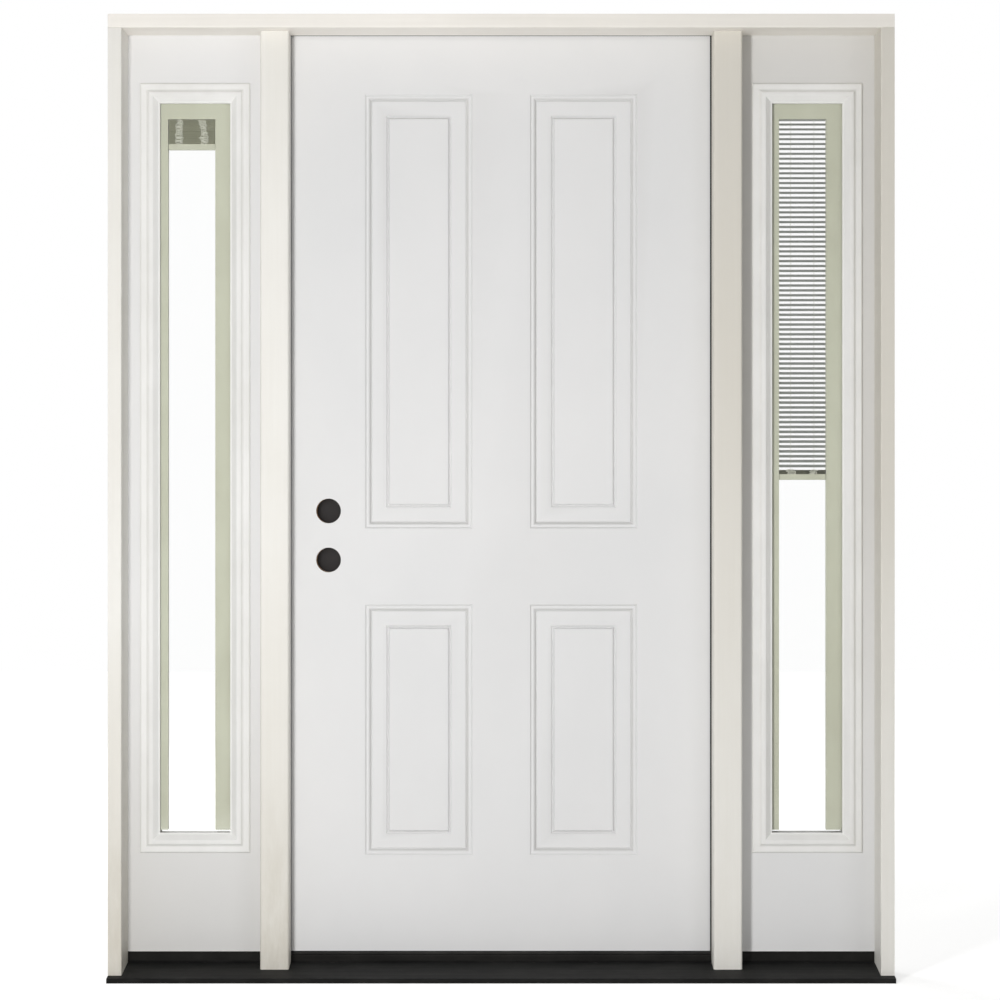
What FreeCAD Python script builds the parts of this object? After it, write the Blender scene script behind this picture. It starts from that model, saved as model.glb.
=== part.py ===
import FreeCAD
import Part

import math
import os

# Entry door with two sidelights: a hinged four-panel steel leaf between two fixed sidelights with
# blinds sealed between their panes, in a timber frame on a dark sloping sill.
# Millimetres. +X is right seen from outdoors, +Y is indoors, +Z is up.
# The origin is the centre of the sill's underside.

# Door leaf
SLAB_WIDTH = 922.0
SLAB_HEIGHT = 2000.0
SLAB_THICKNESS = 44.45
SKIN_THICKNESS = 0.8
LEAF_GAP = 5.0
EDGE_STILE_WIDTH = 32.0
EDGE_TOP_RAIL_HEIGHT = 32.0
EDGE_BOTTOM_RAIL_HEIGHT = 60.0

# Embossed panels of the leaf
PANEL_STILE = 163.5
PANEL_MULLION = 125.4
PANEL_TOP_RAIL = 129.4
PANEL_LOCK_RAIL = 165.9
PANEL_BOTTOM_RAIL = 208.8
LOWER_PANEL_HEIGHT = 547.5
CREASE_WIDTH = 3.2
CREASE_DEPTH = 3.4
BEAD_WIDTH = 7.4
BEAD_RISE = 1.2
BEAD_FALL = 0.6
QUIRK_FALL_WIDTH = 3.4
QUIRK_DEPTH = 8.2
QUIRK_RISE_WIDTH = 2.2
FLAT_DEPTH = 6.4
FLAT_WIDTH = 29.6
GROOVE_WIDTH = 8.2
GROOVE_DEPTH = 11.0
FIELD_DEPTH = 4.6

# Lock bores
BACKSET = 84.0
BORE_RADIUS = 27.0
LOCKSET_HEIGHT = 853.6
BORE_SPACING = 107.0
LOCK_BLOCK_WIDTH = 98.0
LOCK_BLOCK_MARGIN = 110.0
BORE_COVER_RADIUS = 31.0
BORE_COVER_THICKNESS = 3.0
LATCH_BORE_RADIUS = 11.9
LATCH_PLATE_WIDTH = 25.4
LATCH_PLATE_HEIGHT = 57.2
LATCH_PLATE_DEPTH = 3.2
STRIKE_WIDTH = 28.6
STRIKE_HEIGHT = 70.0
STRIKE_DEPTH = 2.0
STRIKE_POCKET_WIDTH = 16.0
STRIKE_POCKET_HEIGHT = 34.0
STRIKE_POCKET_DEPTH = 22.0

# Frame
JAMB_THICKNESS = 22.5
JAMB_DEPTH = 166.7
MULL_CORE = 48.2
MULL_DEPTH = 115.9
STOP_HEIGHT = 7.0
RABBET_DEPTH = 50.0
JAMB_ARRIS = 3.0
MULL_ARRIS = 5.0

# Sill
SILL_DEPTH = 193.7
NOSE_HEIGHT = 10.0
NOSE_RADIUS = 2.5
SILL_BACK_HEIGHT = 25.0
TREAD_THICKNESS = 2.0
CAP_HEIGHT = 16.0
CAP_RADIUS = 3.0
SILL_LIP_HEIGHT = 4.0
SILL_LIP_THICKNESS = 2.0
SWEEP_SPACE = 7.5

# Seals
SEAL_CLEARANCE = 0.6
HINGE_SEAL_REVEAL = 3.2
LOCK_SEAL_REVEAL = 1.0
HEAD_SEAL_REVEAL = 0.6
SEAL_SEAT = 6.0
SWEEP_BODY = 3.0
SWEEP_CLEARANCE = 1.0
SWEEP_FIN = 2.0
SWEEP_INSET = 1.5

# Hinges
HINGE_HEIGHT = 101.6
HINGE_WIDTH = 34.0
HINGE_PLATE = 2.3
HINGE_MORTISE = 1.0
HINGE_BARREL_RADIUS = 6.0
HINGE_BARREL_STANDOFF = 0.3
HINGE_PIN_RADIUS = 3.2
HINGE_PIN_PLAY = 0.05
HINGE_HEAD_RADIUS = 5.0
HINGE_HEAD_HEIGHT = 3.0
HINGE_KNUCKLES = 3
HINGE_KNUCKLE_SPLIT = 0.3
LOWEST_HINGE = 255.0
HIGHEST_HINGE = 186.0
HINGE_COUNT = 3

# Sidelights
SIDELIGHT_WIDTH = 307.3
LITE_SIDE_MARGIN = 33.5
LITE_TOP_MARGIN = 111.5
LITE_BOTTOM_MARGIN = 215.0
LITE_FLANGE = 12.0
LITE_FIT = 0.3
LITE_FACE = 43.4
LITE_EDGE = 3.0
LITE_BEAD_WIDTH = 3.9
LITE_BEAD_RISE = 5.6
LITE_COVE_END = 13.6
LITE_CREST_START = 19.4
LITE_CREST_RISE = 10.5
LITE_BROW_END = 29.0
LITE_BROW_RISE = 11.0
LITE_LIP_START = 40.2
LITE_LIP_RISE = 1.2
LITE_LIP = 0.6
LITE_BEAD_BOW = 0.7
LITE_COVE_BOW = 0.9
LITE_CREST_BOW = 0.6
PANE_INSET = 17.0
PANE_THICKNESS = 3.0
GLASS_UNIT_THICKNESS = 25.4

# Blinds between the panes
SURROUND_LEFT = 42.8
SURROUND_RIGHT = 60.4
SURROUND_TOP = 59.4
SPACER_WIDTH = 12.0
CHANNEL_RECESS = 0.9
CHANNEL_BEAD = 2.2
CHANNEL_BEAD_RECESS = 0.3
CHANNEL_FOOT = 5.0
SLAT_END_GAP = 0.8
SLAT_HEAD_SPACE = 7.4
SLAT_FOOT_SPACE = 4.9
SLAT_WIDTH = 12.7
SLAT_THICKNESS = 0.4
SLAT_CROWN = 0.9
SLAT_TILT = 28.0
SLAT_PITCH = 10.68
SLAT_COUNT = 71
RAISED_STACK_HEIGHT = 53.4
LOWERED_STACK_HEIGHT = 9.8
STACK_STEP = 5.0
STACK_NOTCH = 2.0
BLIND_RAIL_HEIGHT = 12.5
BLIND_RAIL_RADIUS = 2.0
LADDER_WIDTH = 0.9
LADDER_THICKNESS = 0.6
LADDER_GAP = 0.2
LADDER_INSET = 26.0

# Levels that follow from the sizes above
Y_IN = SILL_DEPTH / 2
Y_NOSE = -SILL_DEPTH / 2
Y_JAMB = Y_IN - JAMB_DEPTH
Y_MULL = Y_IN - MULL_DEPTH
Y_STOP = Y_IN - RABBET_DEPTH
Y_LEAF = Y_IN - SLAB_THICKNESS
Y_PANEL_BACK = Y_STOP + SLAB_THICKNESS
X_LEAF = SLAB_WIDTH / 2
X_MULL_IN = X_LEAF + LEAF_GAP
X_MULL_OUT = X_MULL_IN + MULL_CORE
X_JAMB = X_MULL_OUT + SIDELIGHT_WIDTH
X_FRAME = X_JAMB + JAMB_THICKNESS
Z_CAP = SILL_BACK_HEIGHT + CAP_HEIGHT
Z_LEAF = Z_CAP + SWEEP_SPACE
Z_LEAF_TOP = Z_LEAF + SLAB_HEIGHT
Z_HEAD = Z_LEAF_TOP + LEAF_GAP
Z_FRAME = Z_HEAD + JAMB_THICKNESS
X_BORE = -X_LEAF + BACKSET
Z_LOCKSET = Z_LEAF + LOCKSET_HEIGHT
Z_DEADBOLT = Z_LOCKSET + BORE_SPACING
X_PIN = X_LEAF + LEAF_GAP / 2
Y_PIN = Y_IN + HINGE_BARREL_RADIUS + HINGE_BARREL_STANDOFF


# Helpers

def point(x, y, z):
    return FreeCAD.Vector(x, y, z)


def box(x_range, y_range, z_range):
    corner = point(x_range[0], y_range[0], z_range[0])
    size = [ends[1] - ends[0] for ends in (x_range, y_range, z_range)]
    return Part.makeBox(size[0], size[1], size[2], corner)


def outline(place, start, steps):
    """A closed wire of lines and arcs; a step is an end, or a middle and an end for an arc."""
    edges = []
    here = place(*start)
    for step in steps + [start]:
        if isinstance(step[0], tuple):
            end = place(*step[1])
            edges.append(Part.Arc(here, place(*step[0]), end).toShape())
        else:
            end = place(*step)
            edges.append(Part.makeLine(here, end))
        here = end
    return Part.Wire(edges)


def upright(start, steps, z_range):
    """A plan outline raised along Z."""
    wire = outline(lambda x, y: point(x, y, z_range[0]), start, steps)
    return Part.Face(wire).extrude(point(0, 0, z_range[1] - z_range[0]))


def lengthwise(start, steps, x_range):
    """A section in Y and Z drawn out along X."""
    wire = outline(lambda y, z: point(x_range[0], y, z), start, steps)
    return Part.Face(wire).extrude(point(x_range[1] - x_range[0], 0, 0))


def round_corner(corner, toward_first, toward_second, radius):
    """The start of a rounded right-angled corner, and the arc step that ends it."""
    cx, cy = corner
    ax, ay = toward_first
    bx, by = toward_second
    bulge = radius * (1 - math.sqrt(0.5))
    begin = (cx + ax * radius, cy + ay * radius)
    middle = (cx + (ax + bx) * bulge, cy + (ay + by) * bulge)
    end = (cx + bx * radius, cy + by * radius)
    return begin, (middle, end)


def bowed(start, end, bow):
    """The arc step to an end, its middle moved by bow along the second coordinate."""
    return ((start[0] + end[0]) / 2, (start[1] + end[1]) / 2 + bow), end


def mitred_ring(start, steps, x_range, z_range, y_face):
    """A section (inward from the edge, depth along Y) swept round a rectangle."""
    middle = (x_range[0] + x_range[1]) / 2
    right = [(x_range[1], 0), (x_range[1], 1)]
    left = [(x_range[0], 1), (x_range[0], 0)]
    corners = [(middle, 0)] + right + left + [(middle, 0)]
    spine = Part.makePolygon([point(x, y_face, z_range[end]) for x, end in corners])

    def place(inward, depth):
        return point(middle, y_face + depth, z_range[0] + inward)

    section = outline(place, start, steps)
    return spine.makePipeShell([section], True, False, 1).removeSplitter()


def flipped(shape, y_middle):
    """The same shape facing the other way through the door."""
    return shape.mirror(point(0, y_middle, 0), point(0, 1, 0))


def opposite(shape):
    return shape.mirror(point(0, 0, 0), point(1, 0, 0))


def inset(ends, amount):
    return (ends[0] + amount, ends[1] - amount)


def about(middle, size):
    return (middle - size / 2, middle + size / 2)


# Frame

def head_profile():
    start, arc = round_corner((Y_JAMB, Z_HEAD - STOP_HEIGHT), (1, 0), (0, 1), JAMB_ARRIS)
    steps = [arc, (Y_JAMB, Z_FRAME), (Y_IN, Z_FRAME), (Y_IN, Z_HEAD), (Y_STOP, Z_HEAD)]
    steps.append((Y_STOP, Z_HEAD - STOP_HEIGHT))
    return start, steps


def head_jamb():
    start, steps = head_profile()
    return lengthwise(start, steps, (-X_FRAME, X_FRAME))


def tread_rise():
    return (SILL_BACK_HEIGHT - NOSE_HEIGHT) / (Y_STOP - Y_NOSE)


def sill_lip():
    """The tread's upstand in front of the caps, from indoors to outdoors."""
    top = SILL_BACK_HEIGHT + SILL_LIP_HEIGHT
    front = Y_STOP - SILL_LIP_THICKNESS
    foot = SILL_BACK_HEIGHT - tread_rise() * SILL_LIP_THICKNESS
    return [(Y_STOP, SILL_BACK_HEIGHT), (Y_STOP, top), (front, top), (front, foot)]


def sill_volume():
    """All that the sill fills, used to cope the posts over it."""
    steps = [(Y_IN, 0), (Y_IN, SILL_BACK_HEIGHT)] + sill_lip() + [(Y_NOSE, NOSE_HEIGHT)]
    return lengthwise((Y_NOSE, 0), steps, (-X_FRAME, X_FRAME))


def coped(post):
    """A post cut to the sill below it and the head above it."""
    head_stop = box((-X_FRAME, X_FRAME), (Y_JAMB, Y_STOP), (Z_HEAD - STOP_HEIGHT, Z_HEAD))
    return post.cut(sill_volume()).cut(head_stop)


def side_jamb():
    stop = X_JAMB - STOP_HEIGHT
    start, arc = round_corner((stop, Y_JAMB), (0, 1), (1, 0), JAMB_ARRIS)
    steps = [arc, (X_FRAME, Y_JAMB), (X_FRAME, Y_IN)]
    steps += [(X_JAMB, Y_IN), (X_JAMB, Y_STOP), (stop, Y_STOP)]
    return coped(upright(start, steps, (0, Z_HEAD)))


def left_mull_post():
    """The lock side, with a recess and a bolt pocket for each strike."""
    y_middle = (Y_LEAF + Y_IN) / 2
    face = -X_MULL_IN
    tools = []
    for z in (Z_LOCKSET, Z_DEADBOLT):
        recess = (face - STRIKE_DEPTH, face)
        tools.append(box(recess, about(y_middle, STRIKE_WIDTH), about(z, STRIKE_HEIGHT)))
        pocket = (face - STRIKE_POCKET_DEPTH, face)
        y_pocket = about(y_middle, STRIKE_POCKET_WIDTH)
        tools.append(box(pocket, y_pocket, about(z, STRIKE_POCKET_HEIGHT)))
    return opposite(mull_post()).cut(tools)


def right_mull_post():
    """The hinge side, mortised for the hinge leaves."""
    return mull_post().cut(hinge_mortises((X_MULL_IN, X_MULL_IN + HINGE_MORTISE)))


def mull_post():
    near = X_MULL_IN - STOP_HEIGHT
    far = X_MULL_OUT + STOP_HEIGHT
    start, near_arc = round_corner((near, Y_MULL), (0, 1), (1, 0), MULL_ARRIS)
    far_start, far_arc = round_corner((far, Y_MULL), (-1, 0), (0, 1), MULL_ARRIS)
    steps = [near_arc, far_start, far_arc, (far, Y_STOP), (X_MULL_OUT, Y_STOP), (X_MULL_OUT, Y_IN)]
    steps += [(X_MULL_IN, Y_IN), (X_MULL_IN, Y_STOP), (near, Y_STOP)]
    return coped(upright(start, steps, (0, Z_HEAD)))


# Sill

def sill_tread():
    start, arc = round_corner((Y_NOSE, NOSE_HEIGHT), (0, -1), (1, 0), NOSE_RADIUS)
    top = (Y_NOSE + NOSE_RADIUS, NOSE_HEIGHT + tread_rise() * NOSE_RADIUS)
    inner = Y_NOSE + TREAD_THICKNESS
    steps = [(arc[0], top)] + sill_lip()[::-1] + [(Y_IN, SILL_BACK_HEIGHT)]
    underside = SILL_BACK_HEIGHT - TREAD_THICKNESS
    steps += [(Y_IN, underside), (Y_STOP, underside)]
    steps += [(inner, NOSE_HEIGHT - TREAD_THICKNESS), (inner, 0), (Y_NOSE, 0)]
    return lengthwise(start, steps, (-X_FRAME, X_FRAME))


def sill_base():
    inner = Y_NOSE + TREAD_THICKNESS
    top = SILL_BACK_HEIGHT - TREAD_THICKNESS
    steps = [(Y_IN, 0), (Y_IN, top), (Y_STOP, top), (inner, NOSE_HEIGHT - TREAD_THICKNESS)]
    return lengthwise((inner, 0), steps, (-X_FRAME, X_FRAME))


def sill_cap(x_range, z_top):
    start, arc = round_corner((Y_STOP, z_top), (0, -1), (1, 0), CAP_RADIUS)
    steps = [arc, (Y_IN, z_top), (Y_IN, SILL_BACK_HEIGHT), (Y_STOP, SILL_BACK_HEIGHT)]
    return lengthwise(start, steps, x_range)


# Seals of the door opening

def seal_section(edge, reveal):
    """A bulb behind the stop whose nose shows past the stop's edge: its flat corners and its nose."""
    front = Y_STOP
    back = Y_LEAF - SEAL_CLEARANCE
    nose = edge - reveal
    radius = (back - front) / 2
    corners = [(edge + SEAL_SEAT, front), (edge + SEAL_SEAT, back), (nose + radius, back)]
    return corners, [(nose, front + radius), (nose + radius, front)]


def side_weatherstrips():
    z_range = (Z_CAP, Z_HEAD - STOP_HEIGHT - HEAD_SEAL_REVEAL)
    strips = []
    for reveal in (HINGE_SEAL_REVEAL, LOCK_SEAL_REVEAL):
        corners, nose = seal_section(X_MULL_IN - STOP_HEIGHT, reveal)
        strips.append(upright(corners[0], corners[1:] + [tuple(nose)], z_range))
    return Part.makeCompound([strips[0], opposite(strips[1])])


def head_weatherstrip():
    """The same section lying along the head."""
    corners, nose = seal_section(Z_HEAD - STOP_HEIGHT, HEAD_SEAL_REVEAL)
    corners = [(y, z) for z, y in corners]
    nose = [(y, z) for z, y in nose]
    reach = X_MULL_IN - STOP_HEIGHT + SEAL_SEAT
    return lengthwise(corners[0], corners[1:] + [tuple(nose)], (-reach, reach))


# Door leaf

def panel_rectangles():
    """The outer edges of the four embossed panels."""
    right = (PANEL_MULLION / 2, X_LEAF - PANEL_STILE)
    columns = [(-right[1], -right[0]), right]
    low = Z_LEAF + PANEL_BOTTOM_RAIL
    lower = (low, low + LOWER_PANEL_HEIGHT)
    upper = (lower[1] + PANEL_LOCK_RAIL, Z_LEAF_TOP - PANEL_TOP_RAIL)
    return [(column, row) for column in columns for row in (lower, upper)]


def panel_hollow(x_range, z_range):
    """What the embossing takes out of the flat outer face."""
    crown = CREASE_WIDTH + BEAD_WIDTH / 2
    shoulder = CREASE_WIDTH + BEAD_WIDTH
    quirk = shoulder + QUIRK_FALL_WIDTH
    flat = quirk + QUIRK_RISE_WIDTH
    groove = flat + FLAT_WIDTH + GROOVE_WIDTH / 2
    field = groove + GROOVE_WIDTH / 2
    bead_foot = CREASE_DEPTH + BEAD_FALL
    bead_top = (CREASE_DEPTH + bead_foot) / 2 - BEAD_RISE
    steps = [(CREASE_WIDTH, CREASE_DEPTH), ((crown, bead_top), (shoulder, bead_foot))]
    steps += [(quirk, QUIRK_DEPTH), (flat, FLAT_DEPTH), (flat + FLAT_WIDTH, FLAT_DEPTH)]
    steps += [(groove, GROOVE_DEPTH), (field, FIELD_DEPTH), (field, 0)]
    moulding = mitred_ring((0, 0), steps, x_range, z_range, Y_LEAF)
    centre = box(inset(x_range, field), (Y_LEAF, Y_LEAF + FIELD_DEPTH), inset(z_range, field))
    return moulding.fuse(centre).removeSplitter()


def through(radius, length, y_low):
    """A round bar along Y on the axis of each lock bore."""
    levels = (Z_LOCKSET, Z_DEADBOLT)
    inward = point(0, 1, 0)
    return [Part.makeCylinder(radius, length, point(X_BORE, y_low, z), inward) for z in levels]


def bores():
    return through(BORE_RADIUS, SLAB_THICKNESS, Y_LEAF)


def latch_bores():
    """Bores from the lock edge into the lock bores."""
    y_middle = (Y_LEAF + Y_IN) / 2
    along = point(1, 0, 0)
    starts = [point(-X_LEAF, y_middle, z) for z in (Z_LOCKSET, Z_DEADBOLT)]
    return [Part.makeCylinder(LATCH_BORE_RADIUS, BACKSET, start, along) for start in starts]


def outer_skin():
    sheet = box((-X_LEAF, X_LEAF), (Y_LEAF, Y_LEAF + SKIN_THICKNESS), (Z_LEAF, Z_LEAF_TOP))
    hollows = [panel_hollow(x_range, z_range) for x_range, z_range in panel_rectangles()]
    backs = [hollow.translated(point(0, SKIN_THICKNESS, 0)) for hollow in hollows]
    return sheet.fuse(backs).cut(hollows + bores()).removeSplitter()


def leaf_depth():
    return (Y_LEAF + SKIN_THICKNESS, Y_IN - SKIN_THICKNESS)


def inner_skin():
    """The outer skin turned about, with the hinge mortises running out through its edge."""
    return flipped(outer_skin(), (Y_LEAF + Y_IN) / 2).cut(leaf_mortises())


def edge_stile():
    return box((X_LEAF - EDGE_STILE_WIDTH, X_LEAF), leaf_depth(), (Z_LEAF, Z_LEAF_TOP))


def hinge_stile():
    return edge_stile().cut(leaf_mortises())


def lock_stile():
    """The lock edge, bored for the latches and let in for their plates."""
    y_plate = about((Y_LEAF + Y_IN) / 2, LATCH_PLATE_WIDTH)
    x_plate = (-X_LEAF, -X_LEAF + LATCH_PLATE_DEPTH)
    plates = [box(x_plate, y_plate, about(z, LATCH_PLATE_HEIGHT)) for z in (Z_LOCKSET, Z_DEADBOLT)]
    return opposite(edge_stile()).cut(plates + latch_bores())


def edge_rail(z_range):
    return box(inset((-X_LEAF, X_LEAF), EDGE_STILE_WIDTH), leaf_depth(), z_range)


def lock_block_ranges():
    x_near = -X_LEAF + EDGE_STILE_WIDTH
    z_range = (Z_LOCKSET - LOCK_BLOCK_MARGIN, Z_DEADBOLT + LOCK_BLOCK_MARGIN)
    return (x_near, x_near + LOCK_BLOCK_WIDTH), z_range


def lock_block():
    x_range, z_range = lock_block_ranges()
    return box(x_range, leaf_depth(), z_range).cut(bores() + latch_bores())


def leaf_core():
    z_range = (Z_LEAF + EDGE_BOTTOM_RAIL_HEIGHT, Z_LEAF_TOP - EDGE_TOP_RAIL_HEIGHT)
    core = box(inset((-X_LEAF, X_LEAF), EDGE_STILE_WIDTH), leaf_depth(), z_range)
    x_block, z_block = lock_block_ranges()
    tools = [box(x_block, leaf_depth(), z_block)]
    depth = SKIN_THICKNESS + max(GROOVE_DEPTH, QUIRK_DEPTH)
    for x_range, z_range in panel_rectangles():
        tools.append(box(x_range, (Y_LEAF, Y_LEAF + depth), z_range))
        tools.append(box(x_range, (Y_IN - depth, Y_IN), z_range))
    return core.cut(tools)


def bore_covers():
    return Part.makeCompound(through(BORE_COVER_RADIUS, BORE_COVER_THICKNESS, Y_IN))


def door_sweep():
    x_range = inset((-X_LEAF, X_LEAF), SWEEP_INSET)
    y_range = inset((Y_LEAF, Y_IN), SWEEP_INSET)
    body = box(x_range, y_range, (Z_LEAF - SWEEP_BODY, Z_LEAF))
    centres = [y_range[0] + SWEEP_FIN / 2, sum(y_range) / 2, y_range[1] - SWEEP_FIN / 2]
    z_fin = (Z_CAP + SWEEP_CLEARANCE, Z_LEAF - SWEEP_BODY)
    fins = [box(x_range, about(y, SWEEP_FIN), z_fin) for y in centres]
    return body.fuse(fins).removeSplitter()


# Hinges

def hinge_bottoms():
    lowest = Z_LEAF + LOWEST_HINGE - HINGE_HEIGHT / 2
    highest = Z_LEAF_TOP - HIGHEST_HINGE - HINGE_HEIGHT / 2
    step = (highest - lowest) / (HINGE_COUNT - 1)
    return [lowest + step * index for index in range(HINGE_COUNT)]


def hinge_mortises(x_range):
    y_range = (Y_IN - HINGE_WIDTH, Y_IN)
    return [box(x_range, y_range, (bottom, bottom + HINGE_HEIGHT)) for bottom in hinge_bottoms()]


def leaf_mortises():
    return hinge_mortises((X_LEAF - HINGE_MORTISE, X_LEAF))


def hinge_plate(x_range, first_knuckle):
    """Flat plates on the edge with every other knuckle of the barrel, one for each hinge."""
    length = HINGE_HEIGHT / HINGE_KNUCKLES
    bore = HINGE_PIN_RADIUS + HINGE_PIN_PLAY
    plates = []
    for bottom in hinge_bottoms():
        plate = box(x_range, (Y_IN - HINGE_WIDTH, Y_IN), (bottom, bottom + HINGE_HEIGHT))
        for index in range(first_knuckle, HINGE_KNUCKLES, 2):
            low = bottom + index * length + HINGE_KNUCKLE_SPLIT / 2
            high = low + length - HINGE_KNUCKLE_SPLIT
            barrel = Part.makeCylinder(HINGE_BARREL_RADIUS, high - low, point(X_PIN, Y_PIN, low))
            plate = plate.fuse([box(x_range, (Y_IN, Y_PIN), (low, high)), barrel])
        hole = Part.makeCylinder(bore, HINGE_HEIGHT, point(X_PIN, Y_PIN, bottom))
        plates.append(plate.cut(hole).removeSplitter())
    return Part.makeCompound(plates)


def hinge_pins():
    half_split = HINGE_KNUCKLE_SPLIT / 2
    pins = []
    for bottom in hinge_bottoms():
        low = bottom + half_split
        high = bottom + HINGE_HEIGHT - half_split
        rod = Part.makeCylinder(HINGE_PIN_RADIUS, high - low, point(X_PIN, Y_PIN, low))
        head = Part.makeCylinder(HINGE_HEAD_RADIUS, HINGE_HEAD_HEIGHT, point(X_PIN, Y_PIN, high))
        pins.append(rod.fuse(head).removeSplitter())
    return Part.makeCompound(pins)


# Sidelights

def lite_rectangle(x_middle):
    x_range = inset(about(x_middle, SIDELIGHT_WIDTH), LITE_SIDE_MARGIN)
    return x_range, (Z_LEAF + LITE_BOTTOM_MARGIN, Z_HEAD - LITE_TOP_MARGIN)


def glass_inset():
    return (SLAB_THICKNESS - GLASS_UNIT_THICKNESS) / 2


def sidelight_panel(x_middle):
    x_range = about(x_middle, SIDELIGHT_WIDTH)
    x_lite, z_lite = lite_rectangle(x_middle)
    y_range = (Y_STOP, Y_PANEL_BACK)
    opening = box(inset(x_lite, LITE_FLANGE), y_range, inset(z_lite, LITE_FLANGE))
    return box(x_range, y_range, (Z_LEAF, Z_HEAD)).cut(opening)


def lite_frame(x_middle):
    """The outdoor half: an outer bead, a shallow cove, a crest and a bevel down to the glass."""
    x_lite, z_lite = lite_rectangle(x_middle)
    tongue = LITE_FLANGE + LITE_FIT
    bead = (LITE_BEAD_WIDTH, -LITE_BEAD_RISE)
    cove = (LITE_COVE_END, -LITE_BEAD_RISE)
    crest = (LITE_CREST_START, -LITE_CREST_RISE)
    brow = (LITE_BROW_END, -LITE_BROW_RISE)
    steps = [(0, -LITE_EDGE), bowed((0, -LITE_EDGE), bead, -LITE_BEAD_BOW), cove]
    steps += [bowed(cove, crest, LITE_COVE_BOW), bowed(crest, brow, -LITE_CREST_BOW)]
    steps += [(LITE_LIP_START, -LITE_LIP_RISE), (LITE_FACE, -LITE_LIP)]
    steps += [(LITE_FACE, glass_inset()), (tongue, glass_inset()), (tongue, 0)]
    return mitred_ring((0, 0), steps, x_lite, z_lite, Y_STOP)


def pane(x_middle, y_low):
    x_lite, z_lite = lite_rectangle(x_middle)
    return box(inset(x_lite, PANE_INSET), (y_low, y_low + PANE_THICKNESS), inset(z_lite, PANE_INSET))


def cavity():
    margin = glass_inset() + PANE_THICKNESS
    return inset((Y_STOP, Y_PANEL_BACK), margin)


def blind_window(x_middle):
    """The clear opening inside the blind's surround."""
    x_lite, z_lite = lite_rectangle(x_middle)
    x_pane = inset(x_lite, PANE_INSET)
    z_foot = z_lite[0] + LITE_FACE + CHANNEL_FOOT
    z_top = z_lite[1] - PANE_INSET - SURROUND_TOP
    return (x_pane[0] + SURROUND_LEFT, x_pane[1] - SURROUND_RIGHT), (z_foot, z_top)


def blind_surround(x_middle):
    """The spacer that parts the panes, and channels inside it with a bead round the blind."""
    x_lite, z_lite = lite_rectangle(x_middle)
    x_pane = inset(x_lite, PANE_INSET)
    z_pane = inset(z_lite, PANE_INSET)
    x_clear = inset(x_pane, SPACER_WIDTH)
    z_clear = inset(z_pane, SPACER_WIDTH)
    x_window, z_window = blind_window(x_middle)
    z_bead = (z_window[0], z_window[1] + CHANNEL_BEAD)
    spacer = box(x_pane, cavity(), z_pane).cut(box(x_clear, cavity(), z_clear))
    channels = box(x_clear, inset(cavity(), CHANNEL_RECESS), (z_window[0], z_clear[1]))
    bead = box(inset(x_window, -CHANNEL_BEAD), inset(cavity(), CHANNEL_BEAD_RECESS), z_bead)
    window = box(x_window, cavity(), z_window)
    return spacer.fuse([channels.cut(window), bead.cut(window)]).removeSplitter()


def blind_middle():
    return sum(cavity()) / 2


def slat_span(x_middle):
    return inset(blind_window(x_middle)[0], SLAT_END_GAP)


def slat_rise():
    """How far a tilted slat reaches above its middle line."""
    return SLAT_WIDTH / 2 * math.sin(math.radians(SLAT_TILT))


def hanging_drop():
    """From the window's top to the stack below the hanging slats."""
    fall = slat_rise() + SLAT_THICKNESS * math.cos(math.radians(SLAT_TILT))
    return SLAT_HEAD_SPACE + slat_rise() + (SLAT_COUNT - 1) * SLAT_PITCH + fall + SLAT_FOOT_SPACE


def blind_slats(x_middle):
    """Crowned slats, tilted with their outer edges down."""
    first = blind_window(x_middle)[1][1] - SLAT_HEAD_SPACE - slat_rise()
    x_range = slat_span(x_middle)
    half = SLAT_WIDTH / 2
    start = (-half, 0)
    steps = [((0, SLAT_CROWN), (half, 0)), (half, -SLAT_THICKNESS)]
    steps.append(((0, SLAT_CROWN - SLAT_THICKNESS), (-half, -SLAT_THICKNESS)))
    slat = lengthwise(start, steps, x_range)
    slat.rotate(point(0, 0, 0), point(1, 0, 0), SLAT_TILT)
    levels = [first - index * SLAT_PITCH for index in range(SLAT_COUNT)]
    return Part.makeCompound([slat.translated(point(0, blind_middle(), z)) for z in levels])


def blind_stack(x_middle, z_top, height):
    """Gathered slats as one bar, notched between the bundles of slats in front and behind."""
    count = max(1, round(height / STACK_STEP))
    step = height / count
    near, far = about(blind_middle(), SLAT_WIDTH)
    front = []
    back = []
    for index in range(count):
        low = z_top - height + index * step
        high = low + step - STACK_NOTCH / 2
        front += [(near, low + STACK_NOTCH / 2), (near, high), (near + STACK_NOTCH, low + step)]
        back += [(far, low + STACK_NOTCH / 2), (far, high), (far - STACK_NOTCH, low + step)]
    base = [(far - STACK_NOTCH, z_top - height)]
    start = (near + STACK_NOTCH, z_top - height)
    return lengthwise(start, front + back[::-1] + base, slat_span(x_middle))


def blind_rail(x_middle, z_top):
    """A bar rounded along its lower edges."""
    low = z_top - BLIND_RAIL_HEIGHT
    near, far = about(blind_middle(), SLAT_WIDTH)
    start, near_arc = round_corner((near, low), (0, 1), (1, 0), BLIND_RAIL_RADIUS)
    far_start, far_arc = round_corner((far, low), (-1, 0), (0, 1), BLIND_RAIL_RADIUS)
    steps = [near_arc, far_start, far_arc, (far, z_top), (near, z_top)]
    return lengthwise(start, steps, slat_span(x_middle))


def blind_ladders(x_middle, z_range):
    """Two pairs of tapes, one in front of the slats and one behind them."""
    x_window = blind_window(x_middle)[0]
    reach = SLAT_WIDTH / 2 + LADDER_GAP
    tapes = []
    for x in (x_window[0] + LADDER_INSET, x_window[1] - LADDER_INSET):
        for y_low in (blind_middle() - reach - LADDER_THICKNESS, blind_middle() + reach):
            tapes.append(box(about(x, LADDER_WIDTH), (y_low, y_low + LADDER_THICKNESS), z_range))
    return Part.makeCompound(tapes)


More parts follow.
